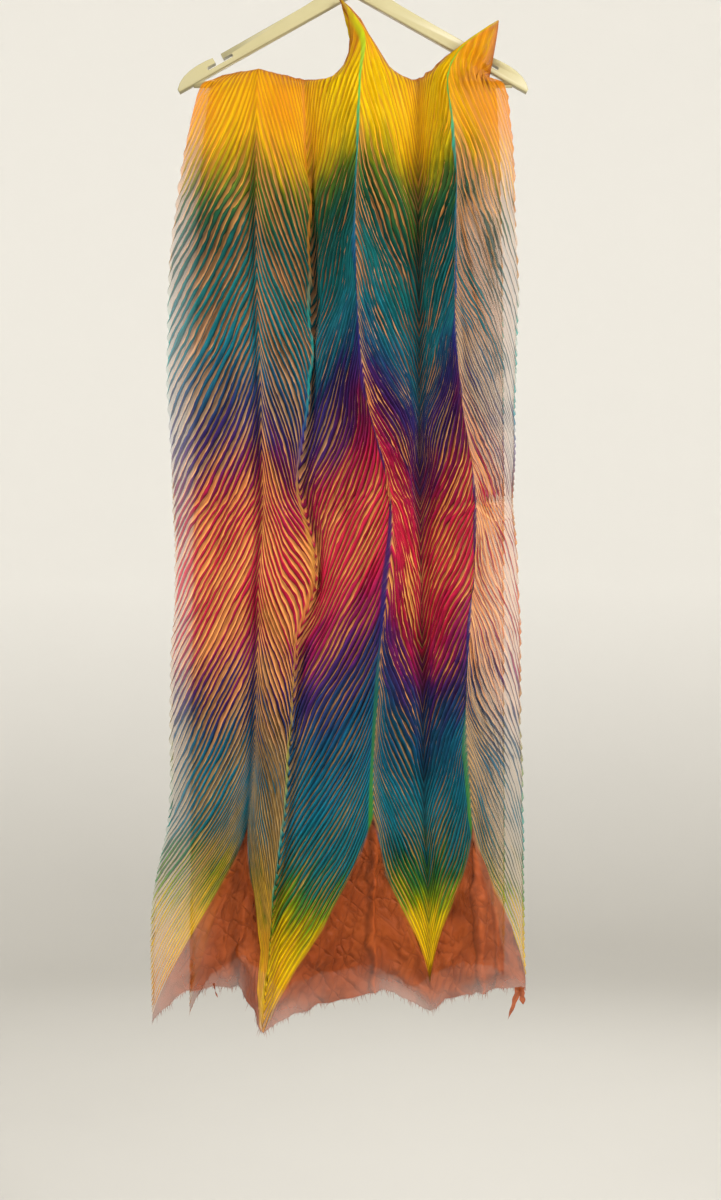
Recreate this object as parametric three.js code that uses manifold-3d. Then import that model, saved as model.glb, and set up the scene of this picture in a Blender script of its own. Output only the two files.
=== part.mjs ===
// A long pleated silk cloth, pole-bound and dyed, draped over the bar of a moulded clothes hanger.
// Millimetres, +Z up, +X to the viewer's right, -Y towards the viewer.
// The origin is the top of the hook's inside, where the hanger hangs.
import * as THREE from "three";
import { mergeVertices } from "three/addons/utils/BufferGeometryUtils.js";
import Module from "manifold-3d";

// Hanger: places are measured from the middle of its trouser bar
const HOOK_SEAT_UP = 206;
const HANGER_DEPTH = 12;
const EDGE_ROUND = 1.6;
const BAR_RADIUS = 4.2;
const BAR_REACH = 191;
const ARM_SLOPE = 0.571;
const ARM_TALL = 20;
const APEX_UP = 106;
const END_REACH = 210;
const END_CORNER = { across: 207.6, up: -11 };
const END_ROUND_FROM = 163;
const END_TALL = 4;
const SHOULDER = { across: 75, up: 83 };
const NECK = { half: 8, up: 146 };
const HOOK_INSIDE = 18;
const HOOK_THICK = 7;
const HOOK_TIP_DEG = 208;
const NOTCH = { across: 158, mouth: 11, depth: 12, slot: 31, slotTall: 4 };

// Cloth
const THICK = 1.6;
const SEAT_GAP = 0.35;
const WRAP_RADIUS = BAR_RADIUS + SEAT_GAP + THICK / 2;
const PANEL_SAG = 1.15;
const CLIMB_STEPS = [0.3, 0.6, 0.84];

// The folds run down the cloth: even numbers are valleys, odd numbers are ridges, the first and last are edges.
// One row for each level of the front half. drop: below the bar; across and forward: one value for each fold;
// tuck: how soon the second panel steps back at fold 2 (small is late and steep).
const FRONT_LEVELS = [
  {
    drop: [1120, 1099, 1131, 1084, 1110, 1089, 1090],
    across: [-238, -137, -106, 23, 92, 153, 206],
    forward: [28, 15, 50, 25, 20, 25, 14],
    tuck: 1,
  },
  { drop: 980, across: [-238, -132, -94, 22, 90, 146, 204], forward: [26, 18, 54, 36, 17, 36, 14], tuck: 1 },
  { drop: 860, across: [-217, -121, -78, 23, 85, 139, 203], forward: [22, 22, 50, 50, 13, 48, 14], tuck: 1 },
  { drop: 740, across: [-218, -115, -71, 29, 83, 133, 200], forward: [20, 26, 42, 58, 11, 55, 15], tuck: 1 },
  { drop: 620, across: [-212, -112, -66, 38, 82, 140, 198], forward: [20, 28, 32, 58, 10, 55, 16], tuck: 0.7 },
  { drop: 500, across: [-214, -107, -66, 46, 80, 145, 192], forward: [20, 30, 22, 58, 10, 55, 16], tuck: 0.45 },
  { drop: 380, across: [-220, -109, -54, 16, 79, 127, 194], forward: [20, 32, 16, 66, 10, 60, 16], tuck: 0.35 },
  { drop: 260, across: [-220, -113, -49, 5, 79, 119, 197], forward: [18, 32, 13, 72, 9, 64, 15], tuck: 0.35 },
  { drop: 140, across: [-210, -115, -52, 4, 78, 122, 193], forward: [16, 30, 11, 68, 8, 62, 14], tuck: 0.4 },
  { drop: 60, across: [-196, -114, -55, 8, 78, 119, 190], forward: [14, 26, 8, 57, 7, 53, 12], tuck: 0.6 },
];

// Over the bar, from the front to the back. angle: the place of a valley on its turn round the bar;
// edges: how far the two outer edges are drawn in, under the arms; sharpen: how much a ridge narrows to a spike.
const TURN_LEVELS = [
  { angle: 0, edges: 180, sharpen: 0 },
  { angle: 45, edges: 171, sharpen: 0.6 },
  { angle: 80, edges: 167, sharpen: 1 },
  { angle: 100, edges: 166, sharpen: 1 },
  { angle: 112, edges: 166, sharpen: 1 },
  { angle: 125, edges: 166, sharpen: 0.5 },
  { angle: 150, edges: 167, sharpen: 0.2 },
  { angle: 180, edges: 170, sharpen: 0 },
];

// The ridges rise above the bar as spikes. Each lists its path over the bar, level by level;
// left and right: how steeply the panel on that side climbs to the spike; lean: how late its neighbours lean over.
const SPIKES = [
  {
    fold: 1,
    lean: 1,
    left: 0.7,
    right: 1.2,
    across: [-114, -114, -113, -113, -113, -113, -115, -118],
    forward: [20, 17, 10, 5, 1, -2, -9, -13],
    up: [0, 10, 16, 16.5, 15.5, 13.5, 8.5, 0],
  },
  {
    fold: 3,
    lean: 3,
    left: 5,
    right: 2.6,
    across: [10, 14, -14, -15, -6, 4, 6, 6],
    forward: [42, 33, 18, 12, 10, 2, -8, -15],
    up: [0, 52, 97, 98, 60, 19, 11, 0],
  },
  {
    fold: 5,
    lean: 1,
    left: 3,
    right: 3,
    across: [113, 128, 171, 173, 150, 122, 119, 118],
    forward: [40, 38, 32, 26, 22, 10, -7, -15],
    up: [0, 33, 67, 67, 36, 14, 10, 0],
  },
];
const VALLEY_ACROSS = { 2: -58, 4: 78 };

// Back half, from the bar down, as the rows of the front half. behind: distance behind the bar.
const BACK_LEVELS = [
  { drop: 60, across: [-180, -118, -62, 4, 72, 122, 176], behind: [9, 18, 9, 24, 9, 23, 11] },
  { drop: 200, across: [-188, -122, -62, 4, 70, 126, 180], behind: [12, 24, 10, 30, 10, 28, 13] },
  { drop: 450, across: [-192, -126, -66, 8, 70, 128, 182], behind: [14, 27, 11, 32, 11, 30, 14] },
  { drop: 700, across: [-194, -129, -72, 12, 70, 130, 182], behind: [14, 27, 12, 32, 11, 30, 14] },
  { drop: 900, across: [-196, -131, -80, 12, 72, 134, 183], behind: [14, 25, 12, 30, 12, 28, 14] },
  {
    drop: [1117, 1070, 1096, 1064, 1086, 1062, 1074],
    across: [-197, -133, -84, 10, 74, 136, 182],
    behind: [13, 22, 12, 27, 12, 25, 14],
  },
];

const LEVEL_STEPS = 3;

const wasm = await Module();
wasm.setup();
const mix = THREE.MathUtils.lerp;

// A three.js geometry as a solid for joining and cutting.
function solid(geometry) {
  const bare = geometry.index ? geometry.toNonIndexed() : geometry.clone();
  bare.deleteAttribute("normal");
  bare.deleteAttribute("uv");
  const merged = mergeVertices(bare, 1e-4);
  return new wasm.Manifold(
    new wasm.Mesh({
      numProp: 3,
      vertProperties: merged.attributes.position.array,
      triVerts: new Uint32Array(merged.index.array),
    }),
  );
}

function geometryOf(manifold) {
  const mesh = manifold.getMesh();
  const geometry = new THREE.BufferGeometry();
  geometry.setAttribute("position", new THREE.BufferAttribute(mesh.vertProperties, 3));
  geometry.setIndex(new THREE.BufferAttribute(mesh.triVerts, 1));
  const faceted = geometry.toNonIndexed();
  faceted.computeVertexNormals();
  return faceted;
}

// A flat outline in the hanger's own plane, given depth from front to back and rounded edges.
function upright(shape, depth, round) {
  const core = depth - 2 * round;
  const geometry = new THREE.ExtrudeGeometry(shape, {
    depth: core,
    bevelEnabled: round > 0,
    bevelThickness: round,
    bevelSize: round,
    bevelOffset: -round,
    bevelSegments: 2,
    curveSegments: 6,
  });
  return geometry.translate(0, 0, -core / 2).rotateX(Math.PI / 2);
}

// Both arms and the raised neck as one outline: the right half, then its mirror image.
function armsOutline() {
  const endTop = APEX_UP - ARM_SLOPE * END_ROUND_FROM + ARM_TALL;
  const neckSwell = (NECK.up - SHOULDER.up) / 3;
  const half = new THREE.Path();
  half.moveTo(0, APEX_UP);
  half.lineTo(END_CORNER.across, END_CORNER.up);
  half.lineTo(END_REACH, END_CORNER.up + END_TALL);
  half.quadraticCurveTo(END_REACH - END_TALL, endTop / 2, END_ROUND_FROM, endTop);
  half.lineTo(SHOULDER.across, SHOULDER.up);
  half.bezierCurveTo(
    SHOULDER.across / 2,
    SHOULDER.up + neckSwell,
    NECK.half,
    NECK.up - neckSwell,
    NECK.half,
    NECK.up,
  );
  const right = half.getPoints(6);
  const left = right.slice(1).reverse().map((point) => new THREE.Vector2(-point.x, point.y));
  return new THREE.Shape([...right, ...left]);
}

// A strap notch: a mouth in the arm's upper edge that widens into a slot, cut square to the arm.
function notchCutter(side) {
  const half = NOTCH.mouth / 2;
  const reach = NOTCH.slot / 2;
  const shape = new THREE.Shape();
  shape.moveTo(-half, NOTCH.depth);
  shape.lineTo(-half, NOTCH.slotTall);
  shape.lineTo(-reach, NOTCH.slotTall);
  shape.absarc(-reach, NOTCH.slotTall / 2, NOTCH.slotTall / 2, Math.PI / 2, (Math.PI * 3) / 2, false);
  shape.lineTo(reach, 0);
  shape.absarc(reach, NOTCH.slotTall / 2, NOTCH.slotTall / 2, -Math.PI / 2, Math.PI / 2, false);
  shape.lineTo(half, NOTCH.slotTall);
  shape.lineTo(half, NOTCH.depth);
  const floor = APEX_UP - ARM_SLOPE * NOTCH.across + ARM_TALL - NOTCH.depth;
  return upright(shape, HANGER_DEPTH * 2, 0)
    .rotateY(side * Math.atan(ARM_SLOPE))
    .translate(side * NOTCH.across, 0, floor);
}

// The hook: a stem from the neck that swings out and round over the place it hangs from.
function hookGeometry() {
  const middle = HOOK_SEAT_UP - HOOK_INSIDE;
  const radius = HOOK_INSIDE + HOOK_THICK / 2;
  const route = [new THREE.Vector3(0, 0, NECK.up - HOOK_THICK), new THREE.Vector3(0, 0, NECK.up + HOOK_THICK)];
  const turn = 26;
  for (let degrees = -2 * turn; degrees <= HOOK_TIP_DEG; degrees += turn) {
    const angle = THREE.MathUtils.degToRad(degrees);
    route.push(new THREE.Vector3(radius * Math.cos(angle), 0, middle + radius * Math.sin(angle)));
  }
  const section = new THREE.Shape().absarc(0, 0, HOOK_THICK / 2, 0, 2 * Math.PI);
  const rod = new THREE.ExtrudeGeometry(section, {
    steps: 44,
    curveSegments: 12,
    bevelEnabled: false,
    extrudePath: new THREE.CatmullRomCurve3(route),
  });
  const tip = route[route.length - 1];
  const cap = new THREE.SphereGeometry(HOOK_THICK / 2, 12, 8).translate(tip.x, tip.y, tip.z);
  return solid(rod).add(solid(cap));
}

function makeHanger() {
  const bar = new THREE.CylinderGeometry(BAR_RADIUS, BAR_RADIUS, 2 * BAR_REACH, 24).rotateZ(Math.PI / 2);
  let moulding = solid(upright(armsOutline(), HANGER_DEPTH, EDGE_ROUND)).add(solid(bar)).add(hookGeometry());
  for (const side of [-1, 1]) {
    moulding = moulding.subtract(solid(notchCutter(side)));
  }
  const plastic = new THREE.MeshStandardMaterial({ color: 0xddd3a4, roughness: 0.45, metalness: 0 });
  const mesh = new THREE.Mesh(geometryOf(moulding), plastic);
  mesh.name = "hanger";
  return mesh;
}

// The columns of the cloth, from its left edge to its right one. Each lies between a valley and a ridge fold,
// and share says how far it has climbed from the valley to the ridge.
function clothColumns() {
  const columns = [];
  for (let panel = 0; panel < 6; panel += 1) {
    const rising = panel % 2 === 0;
    const valley = rising ? panel : panel + 1;
    const ridge = rising ? panel + 1 : panel;
    const shares = rising ? [0, ...CLIMB_STEPS] : [1, ...CLIMB_STEPS.toReversed()];
    columns.push(...shares.map((share) => ({ valley, ridge, share })));
  }
  columns.push({ valley: 6, ridge: 5, share: 0 });
  return columns;
}

const between = (values, { valley, ridge }, share) => mix(values[valley], values[ridge], share);

function hangingPoint(level, column, offsets, bend, facing) {
  const drop = level.drop.length ? between(level.drop, column, column.share) : level.drop;
  const across = between(level.across, column, column.share);
  return new THREE.Vector3(across, facing * between(offsets, column, column.share ** bend), -drop);
}

// A column's point on one level of its way over the bar: valleys turn round the bar, ridges follow their spike.
function turnPoint(level, index, { valley, ridge, share }) {
  const spike = SPIKES.find(({ fold }) => fold === ridge);
  const steepness = mix(PANEL_SAG, ridge > valley ? spike.left : spike.right, level.sharpen);
  const climb = share ** steepness;
  const angle = THREE.MathUtils.degToRad(level.angle);
  const valleyAcross = VALLEY_ACROSS[valley] ?? Math.sign(valley - 3) * level.edges;
  const lean = spike.across[index] - spike.across[0];
  return new THREE.Vector3(
    mix(valleyAcross, spike.across[0], share) + lean * climb ** spike.lean,
    -mix(WRAP_RADIUS * Math.cos(angle), spike.forward[index], climb),
    mix(WRAP_RADIUS * Math.sin(angle), spike.up[index], climb),
  );
}

// One column's way from the front hem, over the bar, to the back hem.
function columnCurve(column) {
  const tucked = column.valley === 2 && column.ridge === 1;
  const front = FRONT_LEVELS.map((level) =>
    hangingPoint(level, column, level.forward, tucked ? level.tuck : PANEL_SAG, -1),
  );
  const turn = TURN_LEVELS.map((level, index) => turnPoint(level, index, column));
  const back = BACK_LEVELS.map((level) => hangingPoint(level, column, level.behind, PANEL_SAG, 1));
  return new THREE.CatmullRomCurve3([...front, ...turn, ...back]);
}

// The cloth's middle surface as a grid, then half its thickness to each side, closed along the four edges.
function makeCloth() {
  const columns = clothColumns().map(columnCurve);
  const rows = (columns[0].points.length - 1) * LEVEL_STEPS;
  const wide = columns.length;
  const middle = new THREE.BufferGeometry();
  const points = [];
  for (let row = 0; row <= rows; row += 1) {
    points.push(...columns.map((curve) => curve.getPoint(row / rows)));
  }
  const at = (row, column) => row * wide + column;
  const faces = [];
  for (let row = 0; row < rows; row += 1) {
    for (let column = 0; column < wide - 1; column += 1) {
      const [a, b] = [at(row, column), at(row, column + 1)];
      const [c, d] = [at(row + 1, column + 1), at(row + 1, column)];
      faces.push(a, b, c, a, c, d);
    }
  }
  middle.setFromPoints(points).setIndex(faces);
  middle.computeVertexNormals();

  const normal = new THREE.Vector3();
  const skin = (side) =>
    points.map((point, index) => {
      normal.fromBufferAttribute(middle.attributes.normal, index);
      return point.clone().addScaledVector(normal, (side * THICK) / 2);
    });
  const inner = (index) => index + points.length;
  const closed = [...faces];
  for (let i = 0; i < faces.length; i += 3) {
    closed.push(inner(faces[i]), inner(faces[i + 2]), inner(faces[i + 1]));
  }
  const rim = [];
  for (let column = 0; column < wide - 1; column += 1) rim.push(at(0, column));
  for (let row = 0; row < rows; row += 1) rim.push(at(row, wide - 1));
  for (let column = wide - 1; column > 0; column -= 1) rim.push(at(rows, column));
  for (let row = rows; row > 0; row -= 1) rim.push(at(row, 0));
  rim.forEach((from, index) => {
    const to = rim[(index + 1) % rim.length];
    closed.push(to, from, inner(from), to, inner(from), inner(to));
  });

  const sheet = new THREE.BufferGeometry().setFromPoints([...skin(1), ...skin(-1)]).setIndex(closed);
  const silk = new THREE.MeshStandardMaterial({ color: 0x2f7f86, roughness: 0.55, metalness: 0 });
  const mesh = new THREE.Mesh(sheet, silk);
  mesh.name = "silk_cloth";
  return mesh;
}

const part = new THREE.Group();
part.add(makeHanger(), makeCloth());
part.children.forEach((mesh) => mesh.position.setZ(-HOOK_SEAT_UP));

export default part;
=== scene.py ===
import math

import bmesh
import bpy
import numpy as np
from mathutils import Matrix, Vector


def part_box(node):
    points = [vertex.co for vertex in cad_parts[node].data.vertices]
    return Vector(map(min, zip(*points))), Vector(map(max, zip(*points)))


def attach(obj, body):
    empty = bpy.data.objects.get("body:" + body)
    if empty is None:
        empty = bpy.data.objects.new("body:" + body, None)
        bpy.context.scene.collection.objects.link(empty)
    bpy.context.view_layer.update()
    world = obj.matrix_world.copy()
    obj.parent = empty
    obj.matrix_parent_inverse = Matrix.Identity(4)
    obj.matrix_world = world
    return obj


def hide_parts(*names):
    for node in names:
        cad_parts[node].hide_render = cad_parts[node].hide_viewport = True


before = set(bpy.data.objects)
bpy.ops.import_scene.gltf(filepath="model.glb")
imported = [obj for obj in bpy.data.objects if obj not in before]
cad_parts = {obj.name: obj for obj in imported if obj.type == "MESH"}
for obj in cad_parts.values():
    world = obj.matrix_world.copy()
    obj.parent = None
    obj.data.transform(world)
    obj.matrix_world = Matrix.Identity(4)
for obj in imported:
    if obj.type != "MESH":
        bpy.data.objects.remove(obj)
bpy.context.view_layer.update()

# The view: level and straight on, about an arm span away, so that the undersides of the hanger's arms show.
# The hanger's hook is above the picture. Places in the picture are measured from the middle of the bar.
MM = 0.001
PHOTO_WIDE = 721
PHOTO_TALL = 1200
BAR_PIXEL = (353, 84.5)
MM_PER_PIXEL = 1.2
CAMERA_AWAY = 2.3
SENSOR_TALL = 36
ARM_END_BELOW_BAR = 11
scene = bpy.context.scene
bar_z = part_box("hanger")[0].z / MM + ARM_END_BELOW_BAR


def in_scene(name, data):
    placed = bpy.data.objects.new(name, data)
    scene.collection.objects.link(placed)
    return placed


view_data = bpy.data.cameras.new("photo_view")
view_data.sensor_width = SENSOR_TALL
view_data.lens = SENSOR_TALL * CAMERA_AWAY / (PHOTO_TALL * MM_PER_PIXEL * MM)
view = in_scene("photo_view", view_data)
view_across = (PHOTO_WIDE / 2 - BAR_PIXEL[0]) * MM_PER_PIXEL
view_up = bar_z - (PHOTO_TALL / 2 - BAR_PIXEL[1]) * MM_PER_PIXEL
view.location = (view_across * MM, -CAMERA_AWAY, view_up * MM)
view.rotation_euler = (math.radians(90), 0, 0)
scene.camera = view


# The hanger is one injection moulding of cream plastic: two arms with strap notches, a bar and a hook.
# Its solid has the right shape, so this piece is that solid with its corners joined and shaded smooth.
MATH = "ShaderNodeMath"
VECTOR_MATH = "ShaderNodeVectorMath"
RANGE = "ShaderNodeMapRange"
NOISE = "ShaderNodeTexNoise"
MIX_FACTOR, MIX_A, MIX_B, MIX_COLOUR = 0, 6, 7, 2
SHARP_EDGE_DEG = 38
JOIN_WITHIN = 0.01


def linear(hex_colour):
    channels = [int(hex_colour[i : i + 2], 16) / 255 for i in (1, 3, 5)]
    return (*[c / 12.92 if c <= 0.04045 else ((c + 0.055) / 1.055) ** 2.4 for c in channels], 1.0)


# Inputs are given in order, or by name or number. A node stands for its first output.
def add_node(tree, kind, inputs=(), **settings):
    node = tree.nodes.new(kind)
    for name, value in settings.items():
        setattr(node, name, value)
    for socket, value in inputs.items() if isinstance(inputs, dict) else enumerate(inputs):
        source = value.outputs[0] if isinstance(value, bpy.types.Node) else value
        if isinstance(source, bpy.types.NodeSocket):
            tree.links.new(source, node.inputs[socket])
        else:
            node.inputs[socket].default_value = source
    return node


# Layers go over a colour in turn. Each has how much of it there is, its colour and how it is mixed in.
def laid_over(tree, colour, layers):
    for much, layer, blend in layers:
        colour = add_node(
            tree,
            "ShaderNodeMix",
            {MIX_FACTOR: much, MIX_A: colour, MIX_B: layer},
            data_type="RGBA",
            blend_type=blend,
            clamp_result=True,
        ).outputs[MIX_COLOUR]
    return colour


def new_material(name):
    material = bpy.data.materials.new(name)
    material.use_nodes = True
    material.node_tree.nodes.clear()
    return material


# Moulded ABS with a fine spark-eroded grain: satin cream, a little darker and duller in broad patches.
PATCH_MM = 45
GRAIN_MM = 0.6
GRAIN_DEEP = 0.1
cream_abs = new_material("moulded_cream_abs")
tree = cream_abs.node_tree
where = add_node(tree, "ShaderNodeTexCoord").outputs["Object"]
patches = add_node(tree, NOISE, {"Vector": where, "Scale": 1 / (PATCH_MM * MM), "Detail": 4.0})
grain = add_node(tree, NOISE, {"Vector": where, "Scale": 1 / (GRAIN_MM * MM), "Detail": 2.0})
cream = laid_over(tree, linear("#A69C70"), [(patches, linear("#B6AC82"), "MIX")])
dullness = add_node(tree, RANGE, [patches, 0.0, 1.0, 0.5, 0.36])
bump = add_node(tree, "ShaderNodeBump", {"Height": grain, "Strength": 0.1, "Distance": GRAIN_DEEP * MM})
moulding = add_node(
    tree,
    "ShaderNodeBsdfPrincipled",
    {"Base Color": cream, "Roughness": dullness, "IOR": 1.53, "Normal": bump},
)
add_node(tree, "ShaderNodeOutputMaterial", {"Surface": moulding})

hanger_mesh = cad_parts["hanger"].data.copy()
hanger_mesh.name = "moulded_hanger"
corners = bmesh.new()
corners.from_mesh(hanger_mesh)
bmesh.ops.remove_doubles(corners, verts=corners.verts, dist=JOIN_WITHIN * MM)
corners.to_mesh(hanger_mesh)
corners.free()
hanger_mesh.shade_smooth()
hanger_mesh.set_sharp_from_angle(angle=math.radians(SHARP_EDGE_DEG))
hanger_mesh.materials.clear()
hanger_mesh.materials.append(cream_abs)
hanger = in_scene("moulded_hanger", hanger_mesh)
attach(hanger, "root")
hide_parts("hanger")


# The cloth is one length of silk organza, folded lengthwise, bound slantwise on a pole, pushed together
# and dyed, so that it keeps fine slanting pleats. It hangs over the bar in seven lengthwise folds: even
# ones are valleys, odd ones ridges, and the first and last are its edges. Sizes here are in millimetres.
BAR_RADIUS = 4.2
SEAT_GAP = 0.5
WRAP_RADIUS = 5.35
PANELS = 6
RISING_SAG = 1.3
FALLING_SAG = 1.45
# Front half, from the hem up: drop below the bar, then across and forward of the bar for each fold,
# and how late the second panel steps back at fold 2.
FRONT_LEVELS = (
    ((1120, 1099, 1131, 1084, 1110, 1089, 1090), (-238, -137, -106, 23, 92, 153, 206),
     (28, 15, 50, 25, 20, 25, 14), 1),
    (980, (-238, -132, -94, 22, 90, 146, 204), (26, 18, 54, 36, 17, 36, 14), 1),
    (860, (-217, -121, -78, 23, 85, 139, 203), (22, 22, 50, 50, 13, 48, 14), 1),
    (740, (-218, -115, -71, 29, 83, 133, 200), (20, 26, 42, 58, 11, 55, 15), 1),
    (620, (-212, -112, -66, 38, 82, 140, 198), (20, 28, 32, 58, 10, 55, 16), 0.7),
    (500, (-214, -107, -66, 46, 80, 145, 192), (20, 30, 22, 58, 10, 55, 16), 0.45),
    (380, (-220, -109, -54, 16, 79, 127, 194), (20, 32, 16, 66, 10, 60, 16), 0.35),
    (260, (-220, -113, -49, 5, 79, 119, 197), (18, 32, 13, 72, 9, 64, 15), 0.35),
    (140, (-210, -115, -52, 4, 78, 122, 193), (16, 30, 11, 68, 8, 62, 14), 0.4),
    (60, (-196, -114, -55, 8, 78, 119, 190), (14, 26, 8, 57, 7, 53, 12), 0.6),
)
# Over the bar: a valley's angle round the bar, the reach of the outer edges, and how far ridges narrow.
TURN_LEVELS = (
    (0, 180, 0), (45, 171, 0.6), (80, 167, 1), (100, 166, 1),
    (112, 166, 1), (125, 166, 0.5), (150, 167, 0.2), (180, 170, 0),
)
TURN_TOP = 3
VALLEY_ACROSS = {2: -58, 4: 78}
# The spikes that the ridges make over the bar. For each: steepness on its left and right, lateness of the
# lean on its left and right, then across, forward and up on each level over the bar.
SPIKES = {
    1: (0.7, 1.2, 1, 1, (-114, -114, -113, -113, -113, -113, -115, -118), (20, 17, 10, 5, 1, -2, -9, -13),
        (0, 10, 16, 16.5, 15.5, 13.5, 8.5, 0)),
    3: (5, 2.6, 3, 3, (10, 14, -14, -15, -6, 4, 6, 6), (42, 33, 18, 12, 10, 2, -8, -15),
        (0, 52, 97, 98, 60, 19, 11, 0)),
    5: (2, 2.8, 1.6, 0.45, (113, 128, 171, 173, 156, 138, 129, 122), (40, 38, 32, 25, 13, 6, -7, -15),
        (0, 33, 67, 67, 36, 14, 10, 0)),
}
# Back half, from the bar down: drop, then across and behind the bar for each fold.
BACK_LEVELS = (
    (60, (-180, -118, -62, 4, 72, 122, 176), (9, 18, 9, 24, 9, 23, 11)),
    (200, (-188, -122, -62, 4, 70, 126, 180), (12, 24, 10, 30, 10, 28, 13)),
    (450, (-192, -126, -66, 8, 70, 128, 182), (14, 27, 11, 32, 11, 30, 14)),
    (700, (-194, -129, -72, 12, 70, 130, 182), (14, 27, 12, 32, 11, 30, 14)),
    (900, (-196, -131, -80, 12, 72, 134, 183), (14, 25, 12, 30, 12, 28, 14)),
    ((1117, 1070, 1096, 1064, 1086, 1062, 1074), (-197, -133, -84, 10, 74, 136, 182),
     (13, 22, 12, 27, 12, 25, 14)),
)

# Columns of the mesh from edge to edge, crowded towards the folds. share is how far a column has climbed
# from its panel's valley to its ridge, and fold counts the folds from 0 at the left edge to 6.
PANEL_COLUMNS = 12
CROWDING = 0.55
even = np.arange(PANEL_COLUMNS + 1) / PANEL_COLUMNS
steps = (1 - CROWDING) * even + CROWDING * (1 - np.cos(math.pi * even)) / 2
share = np.concatenate([steps[:-1] if p % 2 == 0 else steps[:0:-1] for p in range(PANELS)] + [[0.0]])
panel = np.append(np.repeat(np.arange(PANELS), PANEL_COLUMNS), PANELS - 1)
rising = panel % 2 == 0
valley = np.where(rising, panel, panel + 1)
ridge = np.where(rising, panel + 1, panel)
fold = panel + np.where(rising, share, 1 - share)
wide = len(share)


def between(values, climb):
    values = np.broadcast_to(np.asarray(values, float), PANELS + 1)
    return values[valley] + (values[ridge] - values[valley]) * climb


def hanging(drop, across, offset, sag, facing):
    away = facing * between(offset, share**sag)
    return np.stack([between(across, share), away, -between(drop, share)], axis=1)


def turning(level, angle, edges, sharpen):
    round_y = WRAP_RADIUS * math.cos(math.radians(angle))
    round_z = WRAP_RADIUS * math.sin(math.radians(angle))
    points = np.zeros((wide, 3))
    for c in range(wide):
        left, right, left_late, right_late, across, forward, up = SPIKES[ridge[c]]
        steepness = 1 + ((left if rising[c] else right) - 1) * sharpen
        late = left_late if rising[c] else right_late
        climb = share[c] ** steepness
        start = VALLEY_ACROSS.get(valley[c], math.copysign(edges, valley[c] - PANELS / 2))
        lean = (across[level] - across[0]) * climb**late
        points[c] = (
            start + (across[0] - start) * share[c] + lean,
            -(round_y + (forward[level] - round_y) * climb ** min(late, 1)),
            round_z + (up[level] - round_z) * climb,
        )
    return points


sag = np.where(rising, RISING_SAG, FALLING_SAG)
tucked = panel == 1
levels = [hanging(d, x, y, np.where(tucked, tuck, sag), -1) for d, x, y, tuck in FRONT_LEVELS]
at_front = len(levels)
at_top = at_front + TURN_TOP
levels += [turning(i, *row) for i, row in enumerate(TURN_LEVELS)]
at_back = len(levels) - 1
levels += [hanging(d, x, y, sag, 1) for d, x, y in BACK_LEVELS]
levels = np.stack(levels, axis=1)

# Each column runs through its levels on a smooth path, which is measured along its length.
PATH_STEPS = 60


def smooth_path(points):
    ends = np.vstack([2 * points[0] - points[1], points, 2 * points[-1] - points[-2]])
    knots = np.append(0, np.cumsum(np.linalg.norm(np.diff(ends, axis=0), axis=1) ** 0.5))
    path = []
    for k in range(len(points) - 1):
        t = np.linspace(knots[k + 1], knots[k + 2], PATH_STEPS, endpoint=False)[:, None]
        run = ends[k : k + 4]
        at = knots[k : k + 4]
        one = [((at[i + 1] - t) * run[i] + (t - at[i]) * run[i + 1]) / (at[i + 1] - at[i]) for i in range(3)]
        two = [((at[i + 2] - t) * one[i] + (t - at[i]) * one[i + 1]) / (at[i + 2] - at[i]) for i in range(2)]
        path.append(((at[2] - t) * two[0] + (t - at[1]) * two[1]) / (at[2] - at[1]))
    return np.vstack([*path, points[-1:]])


paths = [smooth_path(points) for points in levels]
runs = [np.append(0, np.cumsum(np.linalg.norm(np.diff(p, axis=0), axis=1))) for p in paths]
run_front = np.array([run[at_front * PATH_STEPS] for run in runs])
run_top = np.array([run[at_top * PATH_STEPS] for run in runs])
run_back = np.array([run[at_back * PATH_STEPS] for run in runs])
run_end = np.array([run[-1] for run in runs])

# Pleats are counted up fold 2, from the hem to the bar. They lie further apart towards the bar, climb in
# slow curves from each valley to the ridges beside it, and stop short of the hem, lowest at the valleys.
# The cloth was bound folded in half at the bar, so the back mirrors the front. First, their pitch by drop.
PLEAT_PITCH = ((0, 17), (130, 16), (260, 14.5), (420, 13.5), (700, 13.5), (860, 12.5), (1085, 11))
COUNTED_FOLD = 2
COUNT_STEPS = 2400
# For pleats down the cloth: the drop at which each meets the seven folds. The first ones are above the bar.
FOLD_DROPS = (
    (-150, -450, -150, -450, -150, -430, -150),
    (0, -300, 0, -300, 0, -280, 0),
    (150, -105, 130, -120, 120, -105, 130),
    (305, 105, 260, 95, 262, 130, 290),
    (495, 288, 420, 245, 400, 260, 405),
    (690, 480, 600, 395, 500, 365, 505),
    (860, 660, 760, 562, 678, 545, 680),
    (985, 800, 900, 738, 840, 722, 850),
    (1104, 905, 1112, 902, 1044, 908, 1040),
)
# How far each fold draws the pleats' ends on, downwards in valleys and upwards at ridges, and over which
# share of the panel.
HOOKS = (14, -24, 26, -24, 30, -22, 28)
HOOK_REACH = 0.11
# For each panel: how a pleat bows on its climb, the dyed share of a pleat at the valley and at the ridge in
# the upper blue band, in the red and in the lower blue, and the dye soaked into the rest.
PANEL_PLEATS = (
    (-0.10, 0.44, 0.52, 0.36, 0.48, 0.44, 0.52, 0.12),
    (-0.10, 0.48, 0.56, 0.48, 0.54, 0.46, 0.52, 0.05),
    (0.00, 0.52, 0.62, 0.52, 0.58, 0.80, 0.88, 0.15),
    (-0.15, 0.56, 0.38, 0.58, 0.48, 0.68, 0.50, 0.10),
    (0.00, 0.42, 0.50, 0.42, 0.46, 0.66, 0.74, 0.05),
    (-0.10, 0.17, 0.15, 0.26, 0.24, 0.24, 0.22, 0.00),
)
bow, *dyed_shares, soaked = np.transpose(PANEL_PLEATS)[:, panel]
PLEAT_ROWS = 7
HEM_ROWS = 34
EASE_PLEATS = 3
SPARE_PLEATS = 40
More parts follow.
